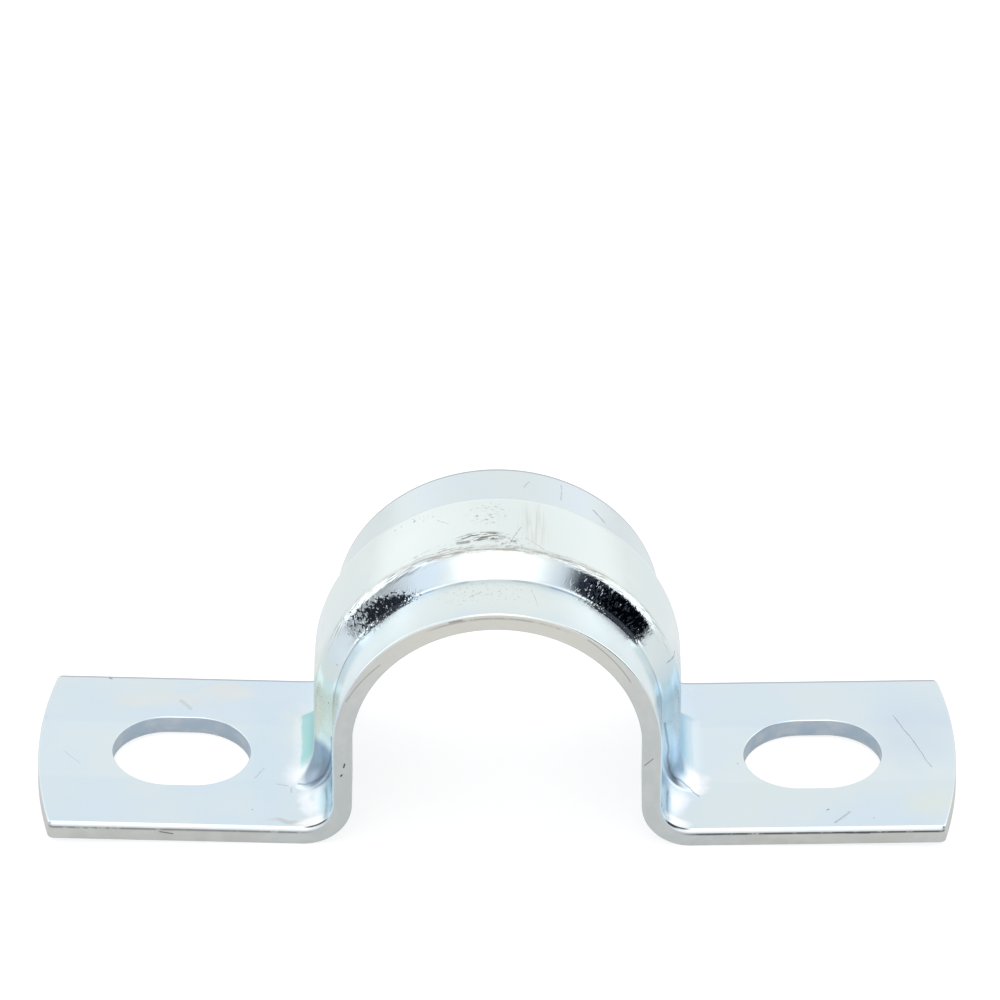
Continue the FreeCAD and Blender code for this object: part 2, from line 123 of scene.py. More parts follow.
# The strap's long section: stations of the right half, from the crown over the arch, down the leg and
# round the bend to a seam on the foot. Each is a point of the plain upper skin and its normal, as x and z.
ARCH_STATIONS = 70
LEG_STATIONS = 12
BEND_STATIONS = 44
BEND_FIRST = ARCH_STATIONS + LEG_STATIONS
BEND_LAST = BEND_FIRST + BEND_STATIONS - 1
SEAM_RUNS = np.array([0.07, 0.17, 0.28, 0.4, 0.52, 0.64, 0.77, 0.9, 1.03, 1.17, 1.32, 1.5, 1.75, 2.05,
                      2.4]) * MM
BEND_REACH = ARCH_OUTER + BEND_RADIUS
SEAM_REACH = BEND_REACH + SEAM_RUNS[-1]
FOOT_ALONG = np.array([math.cos(FOOT_LIFT), math.sin(FOOT_LIFT)])
FOOT_UP = np.array([-math.sin(FOOT_LIFT), math.cos(FOOT_LIFT)])


def half_path():
    """Points and normals of the right half's stations."""
    rows = []
    for turn in np.linspace(0, math.pi / 2, ARCH_STATIONS):
        out = np.array([math.sin(turn), math.cos(turn)])
        rows.append((np.array([0, ARCH_AXIS]) + ARCH_OUTER * out, out))
    bend_axis = STEEL + BEND_RADIUS
    for share in np.linspace(0, 1, LEG_STATIONS + 1)[1:]:
        rows.append((np.array([ARCH_OUTER, blend(ARCH_AXIS, bend_axis, share)]), np.array([1.0, 0.0])))
    for turn in np.linspace(0, math.pi / 2 - FOOT_LIFT, BEND_STATIONS + 1)[1:]:
        out = np.array([math.cos(turn), math.sin(turn)])
        rows.append((np.array([BEND_REACH, bend_axis]) - BEND_RADIUS * out, out))
    start = rows[-1][0]
    for run in SEAM_RUNS:
        rows.append((start + run * FOOT_ALONG, FOOT_UP))
    return np.array([point for point, _ in rows]), np.array([normal for _, normal in rows])


STATION_POINT, STATION_NORMAL = half_path()
STATION_LENGTH = np.concatenate([[0], np.cumsum(np.linalg.norm(np.diff(STATION_POINT, axis=0), axis=1))])
FOOT_START = STATION_POINT[BEND_LAST]

# How far each station has come round the first three quarters of the bend, where the front's roll widens.
ROLL_RUN = STATION_LENGTH[BEND_FIRST + BEND_STATIONS * 3 // 4] - STATION_LENGTH[BEND_FIRST]
STATION_BEND = np.clip((STATION_LENGTH - STATION_LENGTH[BEND_FIRST]) / ROLL_RUN, 0, 1)
STATION_ROLL = blend(ARCH_ROLL, FRONT_ROLL, eased(STATION_BEND))
STATION_ROOT = blend(FLANK_ROOT, FLANK_ROOT_AT_TOE, STATION_BEND)
STATION_DROP = np.clip((STATION_LENGTH - SHOULDER_CRISP_RUN) / SHOULDER_FADE, 0, 1)
STATION_SHOULDER = blend(SHOULDER_AT_CROWN, SHOULDER_AT_LEG, STATION_DROP)

# Both halves' stations in one run, from the left seam over the crown to the right seam.
SIDE = np.concatenate([-np.ones(len(STATION_POINT) - 1), np.ones(len(STATION_POINT))])
ORDER = np.concatenate([np.arange(len(STATION_POINT) - 1, 0, -1), np.arange(len(STATION_POINT))])

# Places across the strap, as shares of the skin's half width. They lie close together over the flank.
FACE_SAMPLES = 6
FLANK_SAMPLES = 37
FLANK_SPAN = (3.2 * MM, 6.95 * MM)
OUTER_PLACES = np.array([7.4, 8.2, 9.1, 10.0, 10.7, 11.1]) * MM


def across():
    """The samples' shares, from the front edge at -1 to the rear edge at 1."""
    edge = HALF_WIDTH - FRONT_ROLL
    half = np.concatenate([np.linspace(0, FLANK_SPAN[0], FACE_SAMPLES),
                           np.linspace(*FLANK_SPAN, FLANK_SAMPLES)[1:], OUTER_PLACES, [edge]])
    return np.concatenate([-half[:0:-1], half]) / edge


ACROSS = across()
EVERY_STATION = np.ones((len(STATION_POINT), 1))
TOP_Y = np.where(ACROSS < 0, ACROSS * (HALF_WIDTH - STATION_ROLL[:, None]),
                 ACROSS * (HALF_WIDTH - REAR_ROLL) * EVERY_STATION)
BOTTOM_Y = ACROSS * (HALF_WIDTH - BURR) * EVERY_STATION


# The pressed skins. A skin is the outside of two joined bodies, the plain sheet and the bead, and each
# station's point is moved along its normal until it lies on that outside.
TINY = 1e-9
NEARLY_ALIGNED = 0.998
LEAST_SPREAD = 1e-6
SEARCH_RANGE = (-0.01 * MM, 2.3 * MM)
SEARCH_STEPS = 26
RIDGE_START = 0.25 * MM
RIDGE_FADE = 0.3 * MM


def corner_distance(first, second, cosine, radius):
    """Signed distance to a rounded convex corner of two faces, and its gradient's two shares."""
    a, b = first + radius, second + radius
    spread = 1 - cosine * cosine
    alpha, beta = (a - b * cosine) / spread, (b - a * cosine) / spread
    inside = (alpha > 0) & (beta > 0)
    reach = np.sqrt(np.maximum((a * a + b * b - 2 * a * b * cosine) / spread, TINY ** 2))
    distance = np.where(inside, reach - radius, np.maximum(first, second))
    share_first = np.where(inside, alpha / reach, (first >= second) * 1.0)
    share_second = np.where(inside, beta / reach, (first < second) * 1.0)
    return distance, share_first, share_second


def filleted_union(first, second, cosine, radius):
    """Signed distance to two joined bodies with a rolling-ball fillet along the line where they meet, and
    its gradient's two shares."""
    a, b = first - radius, second - radius
    spread = np.maximum(1 - cosine * cosine, LEAST_SPREAD)
    alpha, beta = (b * cosine - a) / spread, (a * cosine - b) / spread
    reach = np.sqrt(np.maximum((a * a + b * b - 2 * a * b * cosine) / spread, 0))
    filleted = (alpha > 0) & (beta > 0) & (cosine < NEARLY_ALIGNED)
    safe = np.maximum(reach, TINY)
    share_first = np.where(filleted, alpha / safe, (first <= second) * 1.0)
    share_second = np.where(filleted, beta / safe, (first > second) * 1.0)
    return np.where(filleted, radius - reach, np.minimum(first, second)), share_first, share_second


def face_reach(x, z, face, exit_curve):
    """Distance outside the pressed face, which follows the arch and leg and turns out onto the foot, and
    its gradient."""
    arch = z > ARCH_AXIS
    radial = np.hypot(x, z - ARCH_AXIS)
    reach = np.where(arch, radial, x)
    out_x = np.where(arch, x / np.maximum(radial, TINY), 1.0)
    out_z = np.where(arch, (z - ARCH_AXIS) / np.maximum(radial, TINY), 0.0)
    radius, level = exit_curve
    centre_x, centre_z = face + radius, level + radius
    turn_x, turn_z = x - centre_x, z - centre_z
    gap = np.maximum(np.hypot(turn_x, turn_z), TINY)
    turning = (turn_z < 0) & (x > 0)
    below = np.where(turn_x < 0, gap, np.abs(turn_z))
    reach = np.where(turning, centre_x - below, reach)
    out_x = np.where(turning, np.where(turn_x < 0, -turn_x / gap, 0), out_x)
    out_z = np.where(turning, np.where(turn_x < 0, -turn_z / gap, 1), out_z)
    return reach - face, out_x, out_z


def plain_skin(x, z, y, height, normal_x, normal_z):
    """Distance outside the upper skin before its bead, with the bend's slack beside the bead, and its
    gradient."""
    radius = blend(BEND_RADIUS_AT_BEAD, BEND_RADIUS,
                   eased(np.clip((np.abs(y) - SLACK_HALF_WIDTH) / SLACK_FADE, 0, 1)))
    above = (x - FOOT_START[0]) * FOOT_UP[0] + (z - FOOT_START[1]) * FOOT_UP[1]
    distance, share_leg, share_foot = filleted_union(x - ARCH_OUTER, above, FOOT_UP[0], radius)
    low = z < ARCH_AXIS - LEG_MARGIN
    return (np.where(low, distance, height),
            np.where(low, share_leg + share_foot * FOOT_UP[0], normal_x),
            np.where(low, share_foot * FOOT_UP[1], normal_z))


def raised(base, y, face, half_top, corner, crown, root, landing, exit_curve, upper):
    """Height of the pressed skin above its plain skin, at each station and sample across, and how far
    each point lies on a flank. A corner rounds the face's shoulder, a root fills in the flank's foot and
    a landing the face's toe."""
    low = np.full(y.shape, SEARCH_RANGE[0])
    high = np.full(y.shape, SEARCH_RANGE[1])
    base_x, base_z = base[:, :1], base[:, 1:]
    normal_x, normal_z = STATION_NORMAL[:, :1], STATION_NORMAL[:, 1:]
    for _ in range(SEARCH_STEPS):
        height = (low + high) / 2
        x, z = base_x + normal_x * height, base_z + normal_z * height
        reach, face_x, face_z = face_reach(x, z, face, exit_curve)
        top = reach + crown * (y / half_top) ** 2
        if upper:
            skin, skin_x, skin_z = plain_skin(x, z, y, height, normal_x, normal_z)
            flank = (np.abs(y) - half_top - BEAD_HEIGHT + skin) * FLANK_SLOPE
            flank_x, flank_z = skin_x, skin_z
        else:
            skin, skin_x, skin_z = height, normal_x, normal_z
            flank = (np.abs(y) - half_top + reach) * FLANK_SLOPE
            flank_x, flank_z = face_x, face_z
        cosine = FLANK_SLOPE * (face_x * flank_x + face_z * flank_z)
        distance, on_top, on_flank = corner_distance(top, flank, cosine, corner)
        lean = FLANK_SLOPE * on_flank
        meet = (on_top * face_x + lean * flank_x) * skin_x + (on_top * face_z + lean * flank_z) * skin_z
        fillet = root + (landing - root) * (1 - np.clip(on_flank, 0, 1))
        union, _, _ = filleted_union(skin, distance, np.clip(meet, -1, 1), fillet)
        above = union > 0
        high = np.where(above, height, high)
        low = np.where(above, low, height)
    height = (low + high) / 2
    on_ridge = np.clip((height - RIDGE_START) / RIDGE_FADE, 0, 1)
    return np.maximum(height, 0), np.clip(on_flank, 0, 1) * on_ridge


# The mesh. Each vertex has its place on the flat sheet (run from the crown, place across and depth below
# the upper skin, in millimetres) and its zones (share of sheared edge, of flank and of slot wall).

class Builder:
    """Collects vertices with their attributes, and faces."""

    def __init__(self):
        self.points, self.blank, self.zones, self.faces, self.count = [], [], [], [], 0

    def add(self, points, blank, cut=0.0, flank=0.0, slot_wall=0.0):
        """Keeps vertices and gives their numbers."""
        points = np.asarray(points, float).reshape(-1, 3)
        start = self.count
        self.points.append(points)
        self.blank.append(np.asarray(blank, float).reshape(-1, 3))
        columns = [np.broadcast_to(np.asarray(values, float).ravel(), len(points))
                   for values in (cut, flank, slot_wall)]
        self.zones.append(np.stack(columns, 1))
        self.count += len(points)
        return np.arange(start, self.count)

    def strip(self, first, second, closed=False):
        """Faces between two rows of as many vertices."""
        a, b = np.asarray(first), np.asarray(second)
        if closed:
            a, b = np.append(a, a[0]), np.append(b, b[0])
        self.faces.append(np.stack([a[:-1], a[1:], b[1:], b[:-1]], 1))

    def make(self, name):
        """The object, with smooth faces and both attributes."""
        points = np.concatenate(self.points)
        faces = np.concatenate(self.faces)
        mesh = bpy.data.meshes.new(name)
        mesh.vertices.add(len(points))
        mesh.vertices.foreach_set("co", points.ravel())
        mesh.loops.add(faces.size)
        mesh.loops.foreach_set("vertex_index", faces.ravel())
        mesh.polygons.add(len(faces))
        mesh.polygons.foreach_set("loop_start", np.arange(0, faces.size, 4))
        mesh.update(calc_edges=True)
        mesh.polygons.foreach_set("use_smooth", np.ones(len(faces), bool))
        for label, values in (("blank", np.concatenate(self.blank) / MM),
                              ("zones", np.concatenate(self.zones))):
            layer = mesh.attributes.new(label, "FLOAT_VECTOR", "POINT")
            layer.data.foreach_set("vector", values.astype(np.float32).ravel())
        mesh.validate()
        obj = bpy.data.objects.new(name, mesh)
        bpy.context.collection.objects.link(obj)
        return obj


def on_arch(heights, base, y):
    """Points over both halves' stations, from the right half's heights above a base."""
    x = (base[:, :1] + STATION_NORMAL[:, :1] * heights)[ORDER] * SIDE[:, None]
    z = (base[:, 1:] + STATION_NORMAL[:, 1:] * heights)[ORDER]
    return np.stack([x, y[ORDER], z], -1)


def arch_blank(y, depth=0.0):
    """Places on the flat sheet of the points that on_arch gives."""
    run = (STATION_LENGTH[ORDER] * SIDE)[:, None]
    grid = y[ORDER]
    return np.stack([np.broadcast_to(run, grid.shape), grid, np.broadcast_to(depth, grid.shape)], -1)


def on_foot(side, reach, y, depth):
    """Points of a foot and their places on the flat sheet, given by their reach from the strap's middle
    before the lift, and depth below the foot's top."""
    along = np.asarray(reach) - BEND_REACH
    depth = np.asarray(depth, float)
    x = FOOT_START[0] + along * FOOT_ALONG[0] - depth * FOOT_UP[0]
    z = FOOT_START[1] + along * FOOT_ALONG[1] - depth * FOOT_UP[1]
    run = STATION_LENGTH[BEND_LAST] + along
    shape = np.broadcast(x, y).shape
    points = [np.broadcast_to(values, shape) for values in (side * x, y, z)]
    blank = [np.broadcast_to(values, shape) for values in (side * run, y, depth)]
    return np.stack(points, -1), np.stack(blank, -1)


# The foot's outline: samples along each side, round each corner and along the curved end.
SIDE_SAMPLES = 34
CORNER_SAMPLES = 9
END_SAMPLES = 30


def foot_outline():
    """The outline from the front seam round to the rear seam: points set in by the corner's radius, and
    outward directions."""
    inner = HALF_WIDTH - END_CORNER
    centre = HALF_LENGTH - END_RADIUS
    radius = END_RADIUS - END_CORNER
    corner_x = centre + math.sqrt(radius ** 2 - inner ** 2)
    lean = math.atan2(inner, corner_x - centre)
    rows = []
    for share in np.linspace(0, 1, SIDE_SAMPLES)[1:-1]:
        rows.append(((blend(SEAM_REACH, corner_x, share), -inner), (0, -1)))
    for turn in np.linspace(-math.pi / 2, -lean, CORNER_SAMPLES):
        rows.append(((corner_x, -inner), (math.cos(turn), math.sin(turn))))
    for turn in np.linspace(-lean, lean, END_SAMPLES)[1:-1]:
        out = (math.cos(turn), math.sin(turn))
        rows.append(((centre + radius * out[0], radius * out[1]), out))
    for turn in np.linspace(lean, math.pi / 2, CORNER_SAMPLES):
        rows.append(((corner_x, inner), (math.cos(turn), math.sin(turn))))
    for share in np.linspace(1, 0, SIDE_SAMPLES)[1:-1]:
        rows.append(((blend(SEAM_REACH, corner_x, share), inner), (0, 1)))
    return np.array([point for point, _ in rows]), np.array([out for _, out in rows])


RIM_POINT, RIM_OUT = foot_outline()
RIM_ROLL = blend(REAR_ROLL, FRONT_ROLL, np.clip(-RIM_OUT[:, 1], 0, 1) ** 2)


def rim(inset):
    """The foot's outline, set in by an amount."""
    return RIM_POINT + RIM_OUT * (END_CORNER - np.broadcast_to(inset, len(RIM_POINT)))[:, None]


# Rows round a sheared edge, from its rolled top down: share of the roll set in, share of the roll down,
# share of the wall below the roll, and how far the row counts as sheared, which starts on the lower part
# of the roll.
ROLL_ANGLES = (12, 24, 36, 48, 60, 72, 82)
SHEAR_START = 48
SHEAR_FADE = ROLL_ANGLES[-1] - SHEAR_START
EDGE_ROWS = [(1 - math.sin(math.radians(angle)), 1 - math.cos(math.radians(angle)), 0.0,
              max(0.0, (angle - SHEAR_START) / SHEAR_FADE)) for angle in ROLL_ANGLES]
EDGE_ROWS += [(0.0, 1.0, share, 1.0) for share in (0.0, 0.04, 0.2, 0.42, 0.66, 0.86, 0.95, 1.0)]

# Rings on a foot's skin, as shares of the way from the slot out to the outline, close together at both.
RING_SHARES = [0.0, 0.012, 0.04, 0.09, 0.17, 0.28, 0.41, 0.55, 0.69, 0.81, 0.9, 0.955, 0.985]


def edge_depth(roll, down_share, wall_share):
    """Depth below the upper skin of a row of a sheared edge."""
    return roll * down_share + (STEEL - BURR - roll) * wall_share


def lay_skins(build):
    """The upper and lower skins from seam to seam: their vertices' numbers by station and sample."""
    under = STATION_POINT - STATION_NORMAL * STEEL
    swell, flank = raised(STATION_POINT, TOP_Y, BEAD_FACE, BEAD_HALF_TOP, corner=STATION_SHOULDER[:, None],
                          crown=BEAD_CROWN, root=STATION_ROOT[:, None], landing=TOE_LANDING,
                          exit_curve=NOSE_EXIT, upper=True)
    groove, _ = raised(under, BOTTOM_Y, GROOVE_FACE, GROOVE_HALF_TOP, corner=GROOVE_CORNER, crown=0.0,
                       root=GROOVE_FLARE, landing=GROOVE_FLARE, exit_curve=GROOVE_EXIT, upper=False)
    top = build.add(on_arch(swell, STATION_POINT, TOP_Y), arch_blank(TOP_Y), flank=flank[ORDER])
    top = top.reshape(len(ORDER), -1)
    bottom = build.add(on_arch(groove, under, BOTTOM_Y), arch_blank(BOTTOM_Y, STEEL)).reshape(top.shape)
    for i in range(len(ORDER) - 1):
        build.strip(top[i + 1], top[i])
        build.strip(bottom[i], bottom[i + 1])
    return top, bottom


def skin_outline(build, skin, inset, depth):
    """The row where a skin ends, in four parts."""
    outline = rim(inset)
    parts = {name: build.add(*on_foot(side, outline[:, 0], outline[:, 1], depth))
             for name, side in (("right", 1), ("left", -1))}
    return {**parts, "front": skin[:, 0], "rear": skin[:, -1]}


def edge_outline(build, in_share, down_share, wall_share, cut):
    """A row down the sheared edge, in four parts."""
    parts = {}
    for name, side, roll in (("front", -1, STATION_ROLL), ("rear", 1, np.full(len(STATION_ROLL), REAR_ROLL))):
        depth = edge_depth(roll, down_share, wall_share)[:, None]
        y = side * (HALF_WIDTH - roll * in_share)[:, None]
        base = STATION_POINT - STATION_NORMAL * depth
        parts[name] = build.add(on_arch(np.zeros(y.shape), base, y), arch_blank(y, depth[ORDER]), cut)
    outline = rim(RIM_ROLL * in_share)
    depth = edge_depth(RIM_ROLL, down_share, wall_share)
    for name, side in (("right", 1), ("left", -1)):
        parts[name] = build.add(*on_foot(side, outline[:, 0], outline[:, 1], depth), cut)
    return parts


def loop_of(parts):
    """A row's four parts as one loop: the front, the right end, the rear and the left end."""
    return np.concatenate([parts["front"], parts["right"], parts["rear"][::-1], parts["left"][::-1]])


def foot_skin(build, side, skin, seam_y, outline_row, inset, slot_inset, depth):
    """Rings of a foot's skin from its slot out to its outline and seam. Gives the innermost ring's
    numbers, the points of the slot's middle line that its vertices lie round, and their directions from
    there."""
    seam = skin[-1] if side > 0 else skin[0]
    outer_row = np.concatenate([outline_row, seam[::-1]])
    outer = np.concatenate([rim(inset), np.stack([np.full(len(seam_y), SEAM_REACH), seam_y[::-1]], 1)])
    middle_x = np.clip(outer[:, 0], SLOT_REACH - SLOT_HALF_RUN, SLOT_REACH + SLOT_HALF_RUN)
    middle = np.stack([middle_x, np.zeros(len(outer))], 1)
    way = outer - middle
    way /= np.linalg.norm(way, axis=1)[:, None]
    hole = middle + way * (SLOT_RADIUS + slot_inset)
    rings = []
    for share in RING_SHARES:
        spot = hole + (outer - hole) * share
        rings.append(build.add(*on_foot(side, spot[:, 0], spot[:, 1], depth)))
    rings.append(outer_row)
    flip = (side > 0) == (depth == 0)
    for inner_ring, outer_ring in zip(rings, rings[1:]):
        build.strip(*((outer_ring, inner_ring) if flip else (inner_ring, outer_ring)), closed=True)
    return rings[0], middle, way


def slot_wall(build, side, top_ring, bottom_ring, middle, way):
    """Rows down a slot's sheared wall."""
    rows = [top_ring]
    for in_share, down_share, wall_share, cut in EDGE_ROWS[1::2]:
        spot = middle + way * (SLOT_RADIUS + SLOT_RIM * in_share)
        depth = edge_depth(SLOT_RIM, down_share, wall_share)
        rows.append(build.add(*on_foot(side, spot[:, 0], spot[:, 1], depth), cut, slot_wall=cut))
    rows.append(bottom_ring)
    for above, below in zip(rows, rows[1:]):
        build.strip(*((above, below) if side > 0 else (below, above)), closed=True)


def build_strap():
    build = Builder()
    top, bottom = lay_skins(build)
    top_outline = skin_outline(build, top, RIM_ROLL, 0.0)
    bottom_outline = skin_outline(build, bottom, BURR, STEEL)
    rows = [top_outline] + [edge_outline(build, *row) for row in EDGE_ROWS] + [bottom_outline]
    for above, below in zip(rows, rows[1:]):
        build.strip(loop_of(below), loop_of(above), closed=True)
    for name, side in (("right", 1), ("left", -1)):
        top_ring, middle, way = foot_skin(build, side, top, TOP_Y[-1], top_outline[name], RIM_ROLL, SLOT_RIM,
                                          depth=0.0)
        bottom_ring, _, _ = foot_skin(build, side, bottom, BOTTOM_Y[-1], bottom_outline[name], BURR, BURR,
                                      depth=STEEL)
        slot_wall(build, side, top_ring, bottom_ring, middle, way)
    return build.make("pressed_strap")


strap = build_strap()
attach(strap, "root")
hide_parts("strap")


# Materials are node graphs, made with a small helper.

class Graph:
    """Makes the nodes of one material or world and links them."""

    def __init__(self, tree):
        self.nodes, self.links = tree.nodes, tree.links

    def put(self, socket, value):
        """Links a socket to another, or sets its value."""
        if isinstance(value, bpy.types.NodeSocket):
            self.links.new(value, socket)
        else:
            socket.default_value = value

    def node(self, kind, inputs=None, **settings):
        made = self.nodes.new(kind)
        for key, value in settings.items():
            setattr(made, key, value)
        for key, value in (inputs or {}).items():
            self.put(made.inputs[key], value)
        return made

    def math(self, operation, a, b=None):
        inputs = {0: a} if b is None else {0: a, 1: b}
        return self.node("ShaderNodeMath", inputs, operation=operation).outputs[0]

    def vector(self, operation, *inputs):
        """A vector from a vector operation on two or three inputs."""
        return self.node("ShaderNodeVectorMath", dict(enumerate(inputs)), operation=operation).outputs[0]

    def ramp(self, value, low, high, to_low=0.0, to_high=1.0, smooth=True):
        """to_low up to the first limit, to_high from the second, and a soft passage between."""
        made = self.node("ShaderNodeMapRange", {"Value": value, "From Min": low, "From Max": high,
                                                "To Min": to_low, "To Max": to_high})
        made.interpolation_type = "SMOOTHSTEP" if smooth else "LINEAR"
        made.clamp = True
        return made.outputs["Result"]

    def fade(self, value, low, high):
        """1 up to the first limit and 0 from the second."""
        return self.ramp(value, low, high, 1, 0)

    def mix(self, factor, a, b):
        """Colour a, covered by colour b as far as the factor says."""
        made = self.node("ShaderNodeMix", data_type="RGBA", blend_type="MIX")
        made.clamp_factor = True
        for socket, value in ((made.inputs[0], factor), (made.inputs[6], a), (made.inputs[7], b)):
            self.put(socket, (*value, 1.0) if isinstance(value, tuple) else value)
        return made.outputs[2]

    def noise(self, vector, scale, detail=2.0, rough=0.5):
        inputs = {"Vector": vector, "Scale": scale, "Detail": detail, "Roughness": rough}
        return self.node("ShaderNodeTexNoise", inputs).outputs["Fac"]

    def split(self, vector):
        return self.node("ShaderNodeSeparateXYZ", {0: vector}).outputs

    def join(self, x, y):
        return self.node("ShaderNodeCombineXYZ", {0: x, 1: y, 2: 0.0}).outputs[0]

    def times(self, *factors):
        """The product of several values."""
        product = factors[0]
        for factor in factors[1:]:
            product = self.math("MULTIPLY", product, factor)
        return product

    def most(self, values):
        """The largest of several values."""
        found = values[0]
        for value in values[1:]:
            found = self.math("MAXIMUM", found, value)
        return found

    def stretched(self, vector, turn, length, width):
        """Coordinates in which a texture runs in streaks of a length and width, at an angle."""
        return self.node("ShaderNodeMapping", {"Vector": vector, "Rotation": (0, 0, turn),
                                               "Scale": (length, width, 1)}, vector_type="TEXTURE").outputs[0]


# Marks of handling on the upper skin, each from one point to another of the flat sheet: run along the
# strap from its crown and place across, in millimetres, then the width and the darkness.
STROKES = [
    (2.9, 10.0, 2.4, 9.0, 0.08, 0.35), (6.0, 10.8, 6.0, 8.3, 0.07, 0.4), (9.6, 9.1, 10.8, 8.3, 0.2, 0.4),
    (1.9, -0.4, 0.9, -3.2, 0.08, 0.4), (2.3, -1.9, 3.9, -3.3, 0.07, 0.3), (-5.1, 1.9, -4.2, 0.9, 0.07, 0.3),
    (-1.6, -8.1, -2.6, -8.8, 0.12, 0.25), (3.2, -7.4, 3.7, -9.6, 0.06, 0.22),
    (-57.6, -0.6, -56.2, -2.3, 0.06, 0.2), (-46.9, 8.0, -46.0, 6.8, 0.3, 0.16),
    (-37.6, -4.9, -36.5, -5.2, 0.08, 0.35), (-36.2, -5.4, -36.1, -6.3, 0.07, 0.35),
    (-39.6, -4.1, -38.8, -2.4, 0.12, 0.2), (54.4, 6.0, 57.8, -2.3, 0.045, 0.75),
    (48.5, -10.9, 49.9, -9.2, 0.16, 0.35), (19.7, -2.9, 19.4, -4.9, 0.09, 0.6),
    (-53.8, 11.4, -53.6, 11.3, 0.12, 0.8), (47.8, -8.8, 47.9, -8.7, 0.12, 0.7),
    (-3.3, -2.5, -2.5, -2.55, 0.3, 0.6),
]
# Nicks in the sheared front face: run and depth below the upper skin instead of the place across.
NICKS = [
    (-26.3, 1.05, -25.9, 1.15, 0.1, 0.95), (-27.3, 0.78, -27.15, 0.88, 0.11, 0.95),
    (-48.3, 0.75, -47.1, 0.95, 0.1, 0.7), (25.1, 0.8, 25.9, 1.6, 0.08, 0.6),
    (49.5, 0.5, 51.6, 0.55, 0.14, 0.7), (-4.6, 0.3, -3.4, 0.32, 0.12, 0.5),
    (9.0, 0.35, 15.5, 0.8, 0.07, 0.45), (-13.0, 0.9, -18.5, 0.35, 0.1, 0.3),
]
# Lines of painted shade in the creases where the bead's front flank turns out onto the feet, and their width
# and darkness.
CREASE_SHADE_LINES = [
    [(-27.0, -5.95), (-30.6, -5.8), (-32.2, -5.8), (-33.8, -5.75), (-35.0, -5.6), (-35.6, -5.2)],
    [(25.3, -5.75), (28.4, -5.5), (30.6, -5.6), (32.4, -5.75), (33.6, -5.6), (35.0, -5.6), (35.8, -6.4)],
]
CREASE_SHADE_MARK = (0.13, 0.55)
# Tints in the zinc's passivated film, and painted highlights and painted reflections where marked below:
# run and place across, half sizes of the patch, colour, strength, and how soft its edge is. The softest
# follow a coarse cloud, the others waver a little.
TINTS_AND_PAINTED_LIGHT = [
    ((-5.5, 0.0), (6.5, 5.0), (0.81, 0.885, 0.865), 0.8, 0.9),
    ((13.0, -8.6), (8.0, 4.0), (0.79, 0.90, 0.93), 0.9, 0.9),
    ((-14.0, -8.6), (8.0, 4.0), (0.79, 0.91, 0.95), 0.95, 0.9),
    ((0.0, -8.6), (7.5, 3.5), (0.76, 0.83, 0.81), 0.8, 0.9),
    ((-24.5, -3.5), (6.5, 5.5), (0.68, 0.76, 0.65), 0.85, 0.9),
    ((-30.5, -1.0), (3.5, 5.5), (0.58, 0.73, 0.64), 0.85, 0.9),
    ((24.5, -4.0), (6.0, 5.0), (0.48, 0.65, 0.76), 0.85, 0.8),
    ((30.5, -1.5), (4.0, 6.0), (0.38, 0.56, 0.75), 0.85, 0.7),
    ((-24.0, -9.2), (5.0, 2.6), (0.72, 0.76, 0.66), 0.85, 0.8),
    ((24.0, -9.2), (5.5, 2.6), (0.70, 0.74, 0.68), 0.8, 0.8),
    # Painted dark reflections in the front of the bends.
    ((-31.6, -9.2), (1.9, 3.0), (0.38, 0.56, 0.64), 0.8, 0.6),
    ((31.3, -9.2), (1.9, 3.0), (0.36, 0.52, 0.62), 0.8, 0.6),
    # Painted highlights on the feet in front of the toes.
    ((-35.9, -3.7), (1.5, 2.3), (0.95, 0.98, 1.0), 0.95, 0.9),
    ((35.6, -4.3), (1.6, 1.9), (0.95, 0.98, 1.0), 0.95, 0.9),
    # Painted pale blue reflections low in the front of the bends.
    ((-34.6, -8.4), (1.1, 2.6), (0.90, 0.94, 1.0), 0.85, 0.9),
    ((33.8, -7.8), (1.1, 2.2), (0.88, 0.91, 1.0), 0.8, 0.9),
    # Painted highlights at the heels, behind the front roll.
    ((-34.3, -10.9), (1.7, 0.8), (0.97, 0.99, 1.0), 0.9, 0.7),
    ((33.6, -10.9), (1.6, 0.8), (0.97, 0.99, 1.0), 0.9, 0.7),
    # Painted dark reflections on the toes' front flanks.
    ((-31.8, -4.8), (3.6, 1.9), (0.23, 0.31, 0.40), 0.85, 0.35),
    ((32.2, -4.2), (2.4, 2.2), (0.28, 0.42, 0.54), 0.8, 0.7),
    ((-47.0, 8.7), (5.5, 1.5), (0.79, 0.77, 0.70), 0.3, 0.9),
    ((-42.3, 9.6), (2.8, 1.5), (0.83, 0.78, 0.68), 0.4, 0.9),
    ((-51.5, 7.6), (2.2, 1.2), (0.82, 0.77, 0.68), 0.3, 0.9),
    ((-36.6, -10.6), (1.5, 0.6), (0.46, 0.44, 0.34), 0.4, 0.9),
    ((57.5, -8.0), (3.5, 3.0), (0.74, 0.79, 0.72), 0.4, 0.9),
    ((-38.5, 0.0), (3.5, 9.0), (0.60, 0.745, 0.87), 0.5, 0.9),
    ((56.0, 3.5), (5.5, 6.5), (0.60, 0.70, 0.81), 0.5, 0.9),
    # Painted reflections on the front flank beside the crown, paler to the left and greyer to the right.
    ((-7.0, -5.3), (3.2, 1.7), (0.68, 0.81, 0.93), 0.85, 0.9),
    ((6.3, -5.3), (2.6, 1.7), (0.60, 0.71, 0.80), 0.75, 0.9),
]
CLOUDY_SOFTNESS = 0.8

